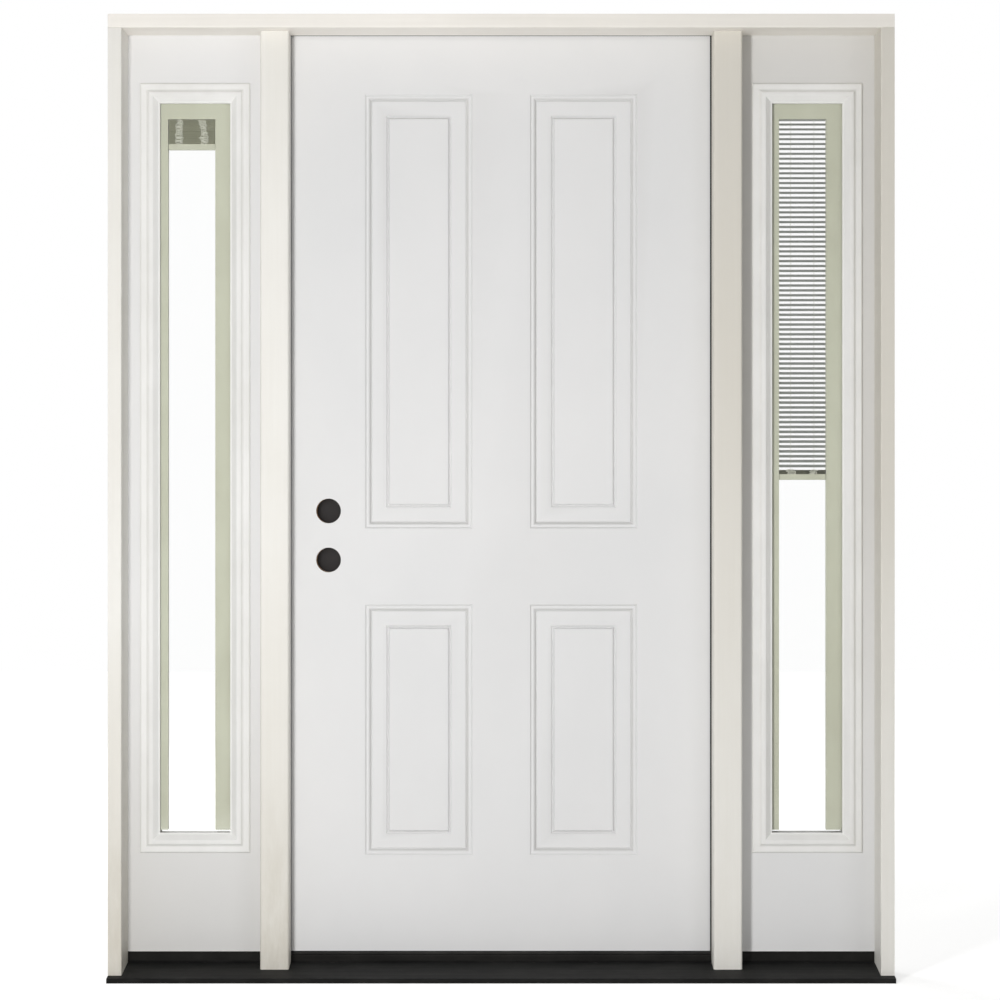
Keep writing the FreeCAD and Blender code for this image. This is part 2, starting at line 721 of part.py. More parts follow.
def sidelight(x_middle):
    """What both sidelights have."""
    outer = lite_frame(x_middle)
    y_middle = (Y_STOP + Y_PANEL_BACK) / 2
    return {
        "panel": sidelight_panel(x_middle),
        "outer_lite_frame": outer,
        "inner_lite_frame": flipped(outer, y_middle),
        "outer_pane": pane(x_middle, Y_STOP + glass_inset()),
        "inner_pane": pane(x_middle, Y_PANEL_BACK - glass_inset() - PANE_THICKNESS),
        "blind_surround": blind_surround(x_middle),
    }


def blind(x_middle, drop, stack_height):
    """The gathered slats, bottom rail and ladders below a given drop of hanging slats."""
    top = blind_window(x_middle)[1][1]
    stack_top = top - drop
    rail_top = stack_top - stack_height
    return {
        "blind_stack": blind_stack(x_middle, stack_top, stack_height),
        "blind_bottom_rail": blind_rail(x_middle, rail_top),
        "blind_ladders": blind_ladders(x_middle, (rail_top, top)),
    }


def parts():
    x_side = (X_MULL_OUT + X_JAMB) / 2
    frame_plate = X_MULL_IN + HINGE_MORTISE
    leaf_plate = X_LEAF - HINGE_MORTISE
    nodes = {
        "head_jamb": head_jamb(),
        "right_jamb": side_jamb(),
        "left_jamb": opposite(side_jamb()),
        "right_mull_post": right_mull_post(),
        "left_mull_post": left_mull_post(),
        "sill_tread": sill_tread(),
        "sill_base": sill_base(),
        "door_sill_cap": sill_cap((-X_MULL_IN, X_MULL_IN), Z_CAP),
        "right_sidelight_sill_cap": sill_cap((X_MULL_OUT, X_JAMB), Z_LEAF),
        "left_sidelight_sill_cap": sill_cap((-X_JAMB, -X_MULL_OUT), Z_LEAF),
        "side_weatherstrips": side_weatherstrips(),
        "head_weatherstrip": head_weatherstrip(),
        "hinge_frame_leaves": hinge_plate((frame_plate - HINGE_PLATE, frame_plate), 0),
        "hinge_pins": hinge_pins(),
        "hinge_door_leaves": hinge_plate((leaf_plate, leaf_plate + HINGE_PLATE), 1),
        "door_outer_skin": outer_skin(),
        "door_inner_skin": inner_skin(),
        "door_hinge_stile": hinge_stile(),
        "door_lock_stile": lock_stile(),
        "door_top_rail": edge_rail((Z_LEAF_TOP - EDGE_TOP_RAIL_HEIGHT, Z_LEAF_TOP)),
        "door_bottom_rail": edge_rail((Z_LEAF, Z_LEAF + EDGE_BOTTOM_RAIL_HEIGHT)),
        "door_lock_block": lock_block(),
        "door_core": leaf_core(),
        "door_sweep": door_sweep(),
        "bore_covers": bore_covers(),
        "right_blind_slats": blind_slats(x_side),
    }
    for side, x_middle, drop, stack in (("left", -x_side, SLAT_END_GAP, RAISED_STACK_HEIGHT),
                                        ("right", x_side, hanging_drop(), LOWERED_STACK_HEIGHT)):
        for name, shape in {**sidelight(x_middle), **blind(x_middle, drop, stack)}.items():
            prefix = side + "_sidelight_" if name == "panel" else side + "_"
            nodes[prefix + name] = shape
    return nodes


def main():
    os.makedirs("parts", exist_ok=True)
    for name, shape in parts().items():
        shape.exportStep("parts/" + name + ".step")


main()
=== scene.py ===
"""Looks of an entry door with two sidelights: finishes, small fittings, light and camera, in metres."""
import math
import random

import bmesh
import bpy
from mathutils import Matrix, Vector


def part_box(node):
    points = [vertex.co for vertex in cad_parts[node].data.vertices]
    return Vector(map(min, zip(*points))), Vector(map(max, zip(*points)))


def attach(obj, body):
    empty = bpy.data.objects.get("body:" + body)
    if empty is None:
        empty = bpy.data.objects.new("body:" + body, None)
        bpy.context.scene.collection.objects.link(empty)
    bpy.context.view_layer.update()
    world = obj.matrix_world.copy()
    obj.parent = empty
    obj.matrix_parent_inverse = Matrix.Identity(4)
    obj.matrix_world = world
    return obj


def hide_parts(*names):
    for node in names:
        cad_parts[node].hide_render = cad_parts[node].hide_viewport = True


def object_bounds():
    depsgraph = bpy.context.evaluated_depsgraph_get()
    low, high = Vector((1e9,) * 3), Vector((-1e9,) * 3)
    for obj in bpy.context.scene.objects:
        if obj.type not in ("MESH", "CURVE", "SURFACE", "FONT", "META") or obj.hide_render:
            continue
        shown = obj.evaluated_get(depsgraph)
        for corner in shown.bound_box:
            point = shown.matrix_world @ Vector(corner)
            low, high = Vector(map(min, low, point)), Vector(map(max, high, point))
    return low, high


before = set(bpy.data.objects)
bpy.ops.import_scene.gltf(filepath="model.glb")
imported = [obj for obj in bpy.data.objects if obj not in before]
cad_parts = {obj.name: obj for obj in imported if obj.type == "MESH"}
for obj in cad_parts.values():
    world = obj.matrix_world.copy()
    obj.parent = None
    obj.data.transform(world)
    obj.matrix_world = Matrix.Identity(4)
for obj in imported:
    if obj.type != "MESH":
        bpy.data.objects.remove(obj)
cad_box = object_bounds()

SIDES = ("left", "right")
SEED = 7

# Camera, level and facing the door from outdoors
CAMERA_PLACE = (-0.0026, -6.74835, 1.033)
CAMERA_LENS = 112.1
CAMERA_SENSOR = 36.0

# Light
WHITE = (1, 1, 1, 1)
SKY_LEVEL = 0.28
BACKGROUND_LEVEL = 1.0
FLOOR_SIZE = 24.0
FLOOR_COLOUR = (0.82, 0.82, 0.81, 1)
FLOOR_GLOW = (0.62, 0.80)
FLOOR_GLOW_REACH = (2.0, 4.5)
KEY_PLACE = (-0.88, -3.4, 1.1)
KEY_SIZE = (0.35, 1.2)
KEY_POWER = 77.0
FILL_PLACE = (2.6, -4.0, 0.4)
FILL_SIZE = (1.6, 0.9)
FILL_POWER = 16.0
BACK_PLACE = (-2.4, 5.2, 2.6)
BACK_SIZE = (2.0, 2.0)
BACK_POWER = 130.0

# Colours, linear
# The head's paint: the jambs' primer painted lighter, painted light on the head
HEAD_LIT_CREAM = (0.94, 0.905, 0.85, 1)
HEAD_LIT_DULL = (0.88, 0.845, 0.79, 1)
FRAME_CREAM = (0.83, 0.815, 0.775, 1)
FRAME_DULL = (0.78, 0.76, 0.71, 1)
# Painted shade that drifts across the frame
FRAME_DRIFT_SHADE = (0.66, 0.63, 0.565, 1)
# Painted shade near the sill, also the colour of the brush streaks
FRAME_SHADE_AND_STREAKS = (0.57, 0.535, 0.46, 1)
DOOR_WHITE = (0.76, 0.755, 0.752, 1)
DOOR_COOL = (0.715, 0.715, 0.715, 1)
# Painted shade in the creases of the door and sidelight panels
CREASE_SHADE = (0.40, 0.39, 0.37, 1)
# Painted shade that drifts across the sidelight panels
PANEL_DRIFT_SHADE = (0.65, 0.64, 0.62, 1)
PLASTIC_WHITE = (0.82, 0.815, 0.80, 1)
PLASTIC_DULL = (0.76, 0.755, 0.735, 1)
TREAD_BLACK = (0.0075, 0.0075, 0.0072, 1)
TREAD_DUST = (0.021, 0.0205, 0.0195, 1)
CAP_BLACK = (0.0095, 0.0088, 0.0082, 1)
CAP_DUST = (0.019, 0.0178, 0.0165, 1)
SEAL_BLACK = (0.016, 0.0155, 0.0145, 1)
SEAL_DUST = (0.04, 0.038, 0.035, 1)
STEEL_BRIGHT = (0.58, 0.57, 0.55, 1)
STEEL_DULL = (0.45, 0.44, 0.42, 1)
GLASS_TINT = (0.999, 1.0, 0.9995, 1)
BEIGE = (0.56, 0.57, 0.455, 1)
BEIGE_DULL = (0.505, 0.51, 0.40, 1)
SLAT_GREY = (0.37, 0.385, 0.36, 1)
SLAT_DULL = (0.31, 0.325, 0.30, 1)
EDGE_OLIVE = (0.56, 0.565, 0.41, 1)
EDGE_DARK = (0.43, 0.435, 0.30, 1)
EDGE_SHADED = (0.19, 0.193, 0.13, 1)
EDGE_BLACK = (0.12, 0.122, 0.085, 1)
TAPE_PALE = (0.78, 0.785, 0.69, 1)
TAPE_DARK = (0.56, 0.565, 0.46, 1)
PINE_PALE = (0.66, 0.47, 0.28, 1)
PINE_DARK = (0.46, 0.28, 0.13, 1)
FOAM_PALE = (0.72, 0.62, 0.36, 1)
FOAM_DARK = (0.58, 0.48, 0.25, 1)
COVER_BLACK = (0.026, 0.0245, 0.025, 1)
COVER_GREY = (0.037, 0.035, 0.036, 1)

# Noise: blotches a metre along X, Y and Z, detail, roughness
FRAME_STIPPLE = ((900.0, 900.0, 900.0), 2.0, 0.55)
DOOR_WAVES = ((14.0, 14.0, 14.0), 2.0, 0.55)
DOOR_PEEL = ((620.0, 620.0, 620.0), 2.0, 0.55)
TREAD_LINES = ((1.6, 900.0, 900.0), 3.0, 0.6)
STEEL_BRUSHING = ((1400.0, 1400.0, 26.0), 3.0, 0.6)
TAPE_PICKS = ((2600.0, 2600.0, 1700.0), 2.0, 0.55)

# Noise that runs along one axis: blotches a metre along it and across it, detail, roughness
FRAME_GRAIN = (3.0, 110.0, 6.0, 0.6)
TIMBER_GRAIN = (2.4, 240.0, 5.0, 0.65)
TIMBER_BANDS = (0.9, 46.0, 3.0, 0.5)

# Clouds: noise as above, and the values of it between which the cloud goes from none to full
FRAME_CLOUDS = ((2.6, 2.6, 1.7), 5.0, 0.55, (0.35, 0.7))
# Blotches of the painted shade near the sill
FRAME_LOW_SHADE_CLOUDS = ((38.0, 38.0, 9.0), 6.0, 0.65, (0.36, 0.7))
FRAME_SHEEN = ((45.0, 45.0, 45.0), 3.0, 0.55, (0.3, 0.7))
DOOR_CLOUDS = ((1.7, 1.7, 1.3), 4.0, 0.55, (0.34, 0.7))
DOOR_SCUFFS = ((60.0, 60.0, 22.0), 7.0, 0.7, (0.66, 0.8))
DOOR_SHEEN = ((30.0, 30.0, 30.0), 3.0, 0.55, (0.3, 0.7))
TREAD_FILM = ((9.0, 30.0, 30.0), 6.0, 0.7, (0.45, 0.8))
SKIN_CLOUDS = ((11.0, 11.0, 6.0), 5.0, 0.55, (0.36, 0.7))
STEEL_TARNISH = ((70.0, 70.0, 70.0), 5.0, 0.55, (0.4, 0.75))
GLASS_FILM = ((14.0, 14.0, 8.0), 6.0, 0.65, (0.45, 0.8))

# Values of grain between which its own effects go from least to most
GRAIN_SPAN = (0.3, 0.7)
STREAK_SPAN = (0.3, 0.75)
PICK_SPAN = (0.35, 0.65)
TIMBER_GRAIN_SPAN = (0.3, 0.72)
TIMBER_BAND_SPAN = (0.32, 0.66)

# Painted shade that drifts across the frame and sidelights, darker low on the left and high on the right
DRIFT_LEVEL = 0.55
DRIFT_RANGE = (-0.2, 0.4)
UPRIGHT_DRIFT = 0.9
HEAD_DRIFT = 0.2
DOOR_DRIFT = 0.0
SIDELIGHT_DRIFT = 0.9

# Frame paint
# Painted shade near the sill: its height, its share, and how it fades from left to right
LOW_SHADE_HEIGHT = 0.45
LOW_SHADE_SHARE = 0.9
LOW_SHADE_ACROSS = (-0.3, 0.6)
LOW_SHADE_ACROSS_SHARE = (1.0, 0.1)
STREAK_SHARE = 0.10
FRAME_ROUGHNESS = (0.42, 0.58)
FRAME_GRAIN_DEPTH = 0.00022
FRAME_STIPPLE_DEPTH = 0.00005

# Door paint
SCUFF_SHARE = 0.12
# Painted shade in creases: the bend values it spans and its greatest share
CREASE_BEND = (0.43, 0.5)
CREASE_SHADE_SHARE = 0.42
DOOR_ROUGHNESS = (0.36, 0.5)
DOOR_WAVE_DEPTH = 0.0003
DOOR_PEEL_DEPTH = 0.00003

# Metal, glass, string and timber
TREAD_ROUGHNESS = (0.54, 0.7)
TREAD_SPECULAR = 0.12
TREAD_LINE_DEPTH = 0.00006
STEEL_ROUGHNESS = (0.26, 0.42)
STEEL_BRUSHING_DEPTH = 0.00003
GLASS_IOR = 1.5
GLASS_ROUGHNESS = 0.03
GLASS_FILM_SHARE = 0.006
TAPE_ROUGHNESS = 0.85
TAPE_SPECULAR = 0.2
TAPE_PICK_DEPTH = 0.00012
TIMBER_ROUGHNESS = (0.6, 0.78)
TIMBER_GRAIN_SHADE = (0.35, 1.0)
TIMBER_BAND_SHADE = (0.25, 1.0)
TIMBER_GRAIN_DEPTH = 0.0003

# Moulded and foamed skins: pale, dull, grains a metre, their depth, roughness, specular level
SKIN_GRAIN = (4.0, 0.6)
SKIN_ROUGHNESS_SPREAD = (-0.06, 0.08)
SKINS = {
    "sill_composite": (CAP_BLACK, CAP_DUST, 420.0, 0.00008, 0.6, 0.15),
    "seal_rubber": (SEAL_BLACK, SEAL_DUST, 700.0, 0.00006, 0.62, 0.3),
    "lite_plastic": (PLASTIC_WHITE, PLASTIC_DULL, 520.0, 0.00003, 0.4, 0.45),
    "blind_beige": (BEIGE, BEIGE_DULL, 640.0, 0.00003, 0.5, 0.4),
    "blind_slat": (SLAT_GREY, SLAT_DULL, 800.0, 0.00002, 0.36, 0.4),
    "blind_slat_edge": (EDGE_OLIVE, EDGE_DARK, 800.0, 0.00002, 0.5, 0.3),
    "blind_slat_edge_shaded": (EDGE_SHADED, EDGE_BLACK, 800.0, 0.00002, 0.5, 0.3),
    "core_foam": (FOAM_PALE, FOAM_DARK, 900.0, 0.0003, 0.85, 0.2),
    "cover_plastic": (COVER_BLACK, COVER_GREY, 900.0, 0.00004, 0.5, 0.35),
}

# Hinge screws, their recess as shares of the head's radius and of the recess's depth
HINGES = 3
HINGE_HEIGHT = 0.1016
HINGE_PROUD = 0.0013
LEAF_GAP = 0.005
SCREW_RADIUS = 0.0042
SCREW_PROUD = 0.0002
SCREW_MOUTH = 0.62
SCREW_THROAT = 0.5
SCREW_CHAMFER = 0.0001
SCREW_SLOT = 0.0011
SCREW_SLOT_DEPTH = 0.0016
SCREW_SLOT_WALL = 0.6
SCREW_SIDES = 16
SCREW_COLUMNS = (0.010, 0.023)
SCREW_ROWS = (-0.037, 0.0, 0.037)

# Screw plugs, their profile as shares of radius and crown
PLUG_RADIUS = 0.0045
PLUG_CROWN = 0.0007
PLUG_PROFILE = ((1.0, 0.0), (0.94, 0.6), (0.7, 0.9), (0.0, 1.0))
PLUG_SIDES = 20
PLUG_INSET = 0.0102
PLUG_SEAT = 0.0056
PLUG_SPACING = 0.28

# Blind slats
SLAT_WIDTH = 0.0127
SLAT_SHEET = 0.00022
SLAT_CROWN = 0.0011
SLAT_STEPS = 6
SLAT_PITCH = 0.01068
SLAT_TILT = math.radians(28)
SLAT_SHUFFLE = 0.00045
SLAT_LEAN = 0.03
STACK_PITCH = 0.00074
STACK_SPRING = 0.0008
TOP_SLAT_LEAN = -0.14
TOP_SLAT_DROP = 0.0018

# Blind strings, the loops' ranges as shares
LADDER_WIDTH = 0.0009
STRING_RADIUS = 0.00022
STRING_SIDES = 6
RUNG_DROP = 0.0009
LOOP_RADIUS = 0.00045
LOOP_REACH = 0.0112
LOOP_BULGE = 0.0018
LOOP_PITCH = 0.0023
LOOP_STRAY = 0.0021
LOOP_STEPS = 8
LOOP_FIRST_SLACK = (0.4, 1.0)
LOOP_SLACK = (0.45, 1.0)
LOOP_SLACK_STEP = 0.35
LOOP_ROW_PLACE = (0.1, 0.9)
LOOP_BULGE_SHARE = (0.5, 1.0)
LOOP_STRAY_SHARE = (0.4, 1.0)

# Sealant
CAULK_RADIUS = 0.0022
CAULK_STEPS = 3


# Shader helpers

def add(tree, kind, settings=None, inputs=None):
    """One shader node, with its settings, and its inputs set to values or linked to outputs."""
    made = tree.nodes.new("ShaderNode" + kind)
    for name, value in (settings or {}).items():
        setattr(made, name, value)
    for name, value in (inputs or {}).items():
        if isinstance(value, bpy.types.NodeSocket):
            tree.links.new(value, made.inputs[name])
        else:
            made.inputs[name].default_value = value
    return made


def own(tree):
    """The piece's own coordinates in metres."""
    return add(tree, "TexCoord").outputs["Object"]


def own_axes(tree):
    """The piece's own X, Y and Z."""
    return add(tree, "SeparateXYZ", inputs={0: own(tree)}).outputs


def noise(tree, pattern):
    """Cloudy noise with so many blotches a metre along each axis."""
    scale, detail, roughness = pattern
    spot = add(tree, "Mapping", inputs={"Vector": own(tree), "Scale": scale}).outputs["Vector"]
    inputs = {"Vector": spot, "Scale": 1.0, "Detail": detail, "Roughness": roughness}
    return add(tree, "TexNoise", inputs=inputs).outputs[0]


def grain(tree, pattern, along):
    """Noise drawn out along one axis."""
    lengthwise, across, detail, roughness = pattern
    scale = [lengthwise if axis == along else across for axis in range(3)]
    return noise(tree, (scale, detail, roughness))


def spread(tree, value, low, high, first=0.0, last=1.0):
    """A value carried from one range to another, clamped at its ends."""
    names = ("Value", "From Min", "From Max", "To Min", "To Max")
    inputs = dict(zip(names, (value, low, high, first, last)))
    return add(tree, "MapRange", inputs=inputs).outputs[0]


def clouds(tree, pattern, first=0.0, last=1.0):
    """Noise that goes from a first level to a last one within its span."""
    span = pattern[-1]
    return spread(tree, noise(tree, pattern[:-1]), *span, first, last)


def reckon(tree, operation, first, second):
    """Two values put together by one operation."""
    return add(tree, "Math", {"operation": operation}, {0: first, 1: second}).outputs[0]


def mixed(tree, factor, first, second):
    """A colour between two others."""
    inputs = {0: factor, 6: first, 7: second}
    return add(tree, "Mix", {"data_type": "RGBA"}, inputs).outputs[2]


def bump(tree, height, depth, under=None):
    """A bump this many metres deep, over another one where there is one."""
    inputs = {"Height": height, "Distance": depth, "Strength": 1.0}
    if under is not None:
        inputs["Normal"] = under
    return add(tree, "Bump", inputs=inputs).outputs["Normal"]


def blank(name):
    """A new material and its empty node tree."""
    material = bpy.data.materials.new(name)
    material.use_nodes = True
    material.node_tree.nodes.clear()
    return material, material.node_tree


def principled(material, inputs):
    """The material, given a principled surface."""
    tree = material.node_tree
    shader = add(tree, "BsdfPrincipled", inputs=inputs)
    add(tree, "OutputMaterial", inputs={"Surface": shader.outputs[0]})
    return material


def drift(tree, share):
    """How much painted shade there is: most low down on the left and high up on the right."""
    where = own_axes(tree)
    height = reckon(tree, "SUBTRACT", where["Z"], DRIFT_LEVEL)
    return spread(tree, reckon(tree, "MULTIPLY", where["X"], height), *DRIFT_RANGE, 0.0, share)


def creases(tree):
    """Where faces meet in a hollow, for painted shade there."""
    bend = add(tree, "NewGeometry").outputs["Pointiness"]
    return spread(tree, bend, *CREASE_BEND, CREASE_SHADE_SHARE, 0.0)


def low_shade(tree):
    """Painted shade in blotches near the sill, most of it on the left."""
    where = own_axes(tree)
    foot = spread(tree, where["Z"], 0.0, LOW_SHADE_HEIGHT, LOW_SHADE_SHARE, 0.0)
    across = spread(tree, where["X"], *LOW_SHADE_ACROSS, *LOW_SHADE_ACROSS_SHARE)
    smears = clouds(tree, FRAME_LOW_SHADE_CLOUDS)
    return reckon(tree, "MULTIPLY", reckon(tree, "MULTIPLY", foot, across), smears)


# Materials

def frame_paint(name, along, pale, dull, shade_share):
    """Cream primer brushed on timber: faint grain, a slow drift of painted shade, painted shade near the
    sill.
    """
    material, tree = blank(name)
    brushing = grain(tree, FRAME_GRAIN, along)
    fresh = mixed(tree, clouds(tree, FRAME_CLOUDS), pale, dull)
    # Painted shade drifting across the frame
    colour = mixed(tree, drift(tree, shade_share), fresh, FRAME_DRIFT_SHADE)
    # Painted shade near the sill
    low_shaded = mixed(tree, low_shade(tree), colour, FRAME_SHADE_AND_STREAKS)
    streaks = spread(tree, brushing, *STREAK_SPAN, 0.0, STREAK_SHARE)
    finish = mixed(tree, streaks, low_shaded, FRAME_SHADE_AND_STREAKS)
    roughness = clouds(tree, FRAME_SHEEN, *FRAME_ROUGHNESS)
    brushed = bump(tree, brushing, FRAME_GRAIN_DEPTH)
    stipple = bump(tree, noise(tree, FRAME_STIPPLE), FRAME_STIPPLE_DEPTH, brushed)
    return principled(material, {"Base Color": finish, "Roughness": roughness, "Normal": stipple})


def door_paint(name, shade_share):
    """Smooth baked primer on steel: slight clouds of tone, a drift of painted shade, painted shade in
    creases and a fine orange peel.
    """
    material, tree = blank(name)
    fresh = mixed(tree, clouds(tree, DOOR_CLOUDS), DOOR_WHITE, DOOR_COOL)
    # Painted shade drifting across the panel
    colour = mixed(tree, drift(tree, shade_share), fresh, PANEL_DRIFT_SHADE)
    scuffed = mixed(tree, clouds(tree, DOOR_SCUFFS, 0.0, SCUFF_SHARE), colour, FRAME_DULL)
    # Painted shade in the creases
    finish = mixed(tree, creases(tree), scuffed, CREASE_SHADE)
    roughness = clouds(tree, DOOR_SHEEN, *DOOR_ROUGHNESS)
    waves = bump(tree, noise(tree, DOOR_WAVES), DOOR_WAVE_DEPTH)
    peel = bump(tree, noise(tree, DOOR_PEEL), DOOR_PEEL_DEPTH, waves)
    return principled(material, {"Base Color": finish, "Roughness": roughness, "Normal": peel})


def dark_metal(name):
    """Bronze-black anodised tread: drawing lines along its length and a film of dust."""
    material, tree = blank(name)
    lines = noise(tree, TREAD_LINES)
    colour = mixed(tree, clouds(tree, TREAD_FILM), TREAD_BLACK, TREAD_DUST)
    roughness = spread(tree, lines, *GRAIN_SPAN, *TREAD_ROUGHNESS)
    inputs = {"Base Color": colour, "Roughness": roughness, "Specular IOR Level": TREAD_SPECULAR}
    inputs["Normal"] = bump(tree, lines, TREAD_LINE_DEPTH)
    return principled(material, inputs)


def fine_grained(name):
    """A moulded or foamed skin with a fine grain and slow clouds of tone."""
    pale, dull, scale, depth, rough, specular = SKINS[name]
    material, tree = blank(name)
    fine = noise(tree, ((scale, scale, scale), *SKIN_GRAIN))
    colour = mixed(tree, clouds(tree, SKIN_CLOUDS), pale, dull)
    smooth, coarse = [rough + change for change in SKIN_ROUGHNESS_SPREAD]
    roughness = spread(tree, fine, *GRAIN_SPAN, smooth, coarse)
    inputs = {"Base Color": colour, "Roughness": roughness, "Specular IOR Level": specular}
    inputs["Normal"] = bump(tree, fine, depth)
    return principled(material, inputs)


def hinge_steel(name):
    """Satin plated steel, brushed upright."""
    material, tree = blank(name)
    brushing = noise(tree, STEEL_BRUSHING)
    colour = mixed(tree, clouds(tree, STEEL_TARNISH), STEEL_BRIGHT, STEEL_DULL)
    roughness = spread(tree, brushing, *GRAIN_SPAN, *STEEL_ROUGHNESS)
    inputs = {"Base Color": colour, "Roughness": roughness, "Metallic": 1.0}
    inputs["Normal"] = bump(tree, brushing, STEEL_BRUSHING_DEPTH)
    return principled(material, inputs)


def clear_glass(name):
    """A thin clear pane: see-through, mirroring by Fresnel where light enters, with a faint film of dust."""
    material, tree = blank(name)
    clear = add(tree, "BsdfTransparent", inputs={"Color": GLASS_TINT}).outputs[0]
    mirror = add(tree, "BsdfGlossy", inputs={"Roughness": GLASS_ROUGHNESS}).outputs[0]
    fresnel = add(tree, "Fresnel", inputs={"IOR": GLASS_IOR}).outputs[0]
    entering = reckon(tree, "SUBTRACT", 1.0, add(tree, "NewGeometry").outputs["Backfacing"])
    sheen = reckon(tree, "MULTIPLY", fresnel, entering)
    pane = add(tree, "MixShader", inputs={0: sheen, 1: clear, 2: mirror}).outputs[0]
    film = add(tree, "BsdfDiffuse", inputs={"Color": PLASTIC_WHITE}).outputs[0]
    dust = clouds(tree, GLASS_FILM, 0.0, GLASS_FILM_SHARE)
    glass = add(tree, "MixShader", inputs={0: dust, 1: pane, 2: film}).outputs[0]
    add(tree, "OutputMaterial", inputs={"Surface": glass})
    return material


def woven_tape(name):
    """Braided ladder string: fine light and dark picks."""
    material, tree = blank(name)
    picks = noise(tree, TAPE_PICKS)
    colour = mixed(tree, spread(tree, picks, *PICK_SPAN), TAPE_DARK, TAPE_PALE)
    inputs = {"Base Color": colour, "Roughness": TAPE_ROUGHNESS, "Specular IOR Level": TAPE_SPECULAR}
    inputs["Normal"] = bump(tree, picks, TAPE_PICK_DEPTH)
    return principled(material, inputs)


def edge_timber(name, along):
    """Bare softwood: growth lines along the piece, a few darker bands and open grain."""
    material, tree = blank(name)
    fine = grain(tree, TIMBER_GRAIN, along)
    lines = spread(tree, fine, *TIMBER_GRAIN_SPAN, *TIMBER_GRAIN_SHADE)
    bands = spread(tree, grain(tree, TIMBER_BANDS, along), *TIMBER_BAND_SPAN, *TIMBER_BAND_SHADE)
    colour = mixed(tree, reckon(tree, "MULTIPLY", lines, bands), PINE_PALE, PINE_DARK)
    roughness = spread(tree, fine, *GRAIN_SPAN, *TIMBER_ROUGHNESS)
    inputs = {"Base Color": colour, "Roughness": roughness}
    inputs["Normal"] = bump(tree, fine, TIMBER_GRAIN_DEPTH)
    return principled(material, inputs)


def both(*names):
    """The left and the right node of each name."""
    return [side + "_" + name for name in names for side in SIDES]


def finishes():
    """Which material each node wears."""
    upright = frame_paint("frame_paint_upright", 2, FRAME_CREAM, FRAME_DULL, UPRIGHT_DRIFT)
    # The head wears the frame's primer painted lighter, painted light
    level = frame_paint("frame_paint_level_lit", 0, HEAD_LIT_CREAM, HEAD_LIT_DULL, HEAD_DRIFT)
    skins = {name: fine_grained(name) for name in SKINS}
    worn = {
        upright: both("jamb", "mull_post"),
        level: ["head_jamb"],
        door_paint("door_paint", DOOR_DRIFT): ["door_outer_skin", "door_inner_skin"],
        # The sidelight panels wear the door's paint with painted shade drifting across them
        door_paint("sidelight_paint", SIDELIGHT_DRIFT): both("sidelight_panel"),
        dark_metal("sill_tread_metal"): ["sill_tread"],
        hinge_steel("hinge_steel"): ["hinge_frame_leaves", "hinge_door_leaves", "hinge_pins"],
        clear_glass("clear_glass"): both("outer_pane", "inner_pane"),
        woven_tape("blind_tape"): both("blind_ladders"),
        edge_timber("edge_timber_upright", 2): ["door_lock_stile", "door_hinge_stile", "door_lock_block"],
        edge_timber("edge_timber_level", 0): ["door_top_rail", "door_bottom_rail"],
        skins["sill_composite"]: ["sill_base", "door_sill_cap"] + both("sidelight_sill_cap"),
        skins["seal_rubber"]: ["side_weatherstrips", "head_weatherstrip", "door_sweep"],
        skins["lite_plastic"]: both("outer_lite_frame", "inner_lite_frame"),
        skins["blind_beige"]: both("blind_surround", "blind_bottom_rail"),
        skins["blind_slat"]: ["right_blind_slats"],
        skins["blind_slat_edge"]: ["left_blind_stack"],
        skins["blind_slat_edge_shaded"]: ["right_blind_stack"],
        skins["core_foam"]: ["door_core"],
        skins["cover_plastic"]: ["bore_covers"],
    }
    return {name: material for material, names in worn.items() for name in names}


def dress(wears):
    """Puts each node's material on it."""
    for name, material in wears.items():
        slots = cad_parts[name].data.materials
        slots.clear()
        slots.append(material)


# Mesh helpers

def stand(name, data):
    """A new object in the scene."""
    made = bpy.data.objects.new(name, data)
    bpy.context.scene.collection.objects.link(made)
    return made


def piece(name, shape, material, body):
    """A finished mesh that rides on a body."""
    mesh = bpy.data.meshes.new(name)
    bmesh.ops.recalc_face_normals(shape, faces=shape.faces)
    shape.to_mesh(mesh)
    shape.free()
    mesh.materials.append(material)
    made = stand(name, mesh)
    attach(made, body)
    return made


def round_turns(sides):
    """The angles of a ring's points."""
    return [2 * math.pi * turn / sides for turn in range(sides)]


def skinned(shape, rings):
    """Faces between each ring of points and the next."""
    for ring, following in zip(rings, rings[1:]):
        for turn in range(len(ring)):
            beside = (turn + 1) % len(ring)
            shape.faces.new((ring[turn], ring[beside], following[beside], following[turn]))


def drawn_out(shape, section, x_range):
    """A closed section of (y, z) points drawn out along X."""
    rings = [[shape.verts.new((x, y, z)) for y, z in section] for x in x_range]
    skinned(shape, rings)
    for ring in rings:
        shape.faces.new(ring)


def tube(shape, points, radius):
    """A round string along points, closed at its ends."""
    rings = []
    for index, here in enumerate(points):
        ahead = points[min(index + 1, len(points) - 1)] - points[max(index - 1, 0)]
        side = ahead.cross(Vector((0, 1, 0))).normalized()
        over = side.cross(ahead).normalized()
        around = [math.cos(t) * side + math.sin(t) * over for t in round_turns(STRING_SIDES)]
        rings.append([shape.verts.new(here + radius * way) for way in around])
    skinned(shape, rings)
    shape.faces.new(rings[0])
    shape.faces.new(rings[-1])


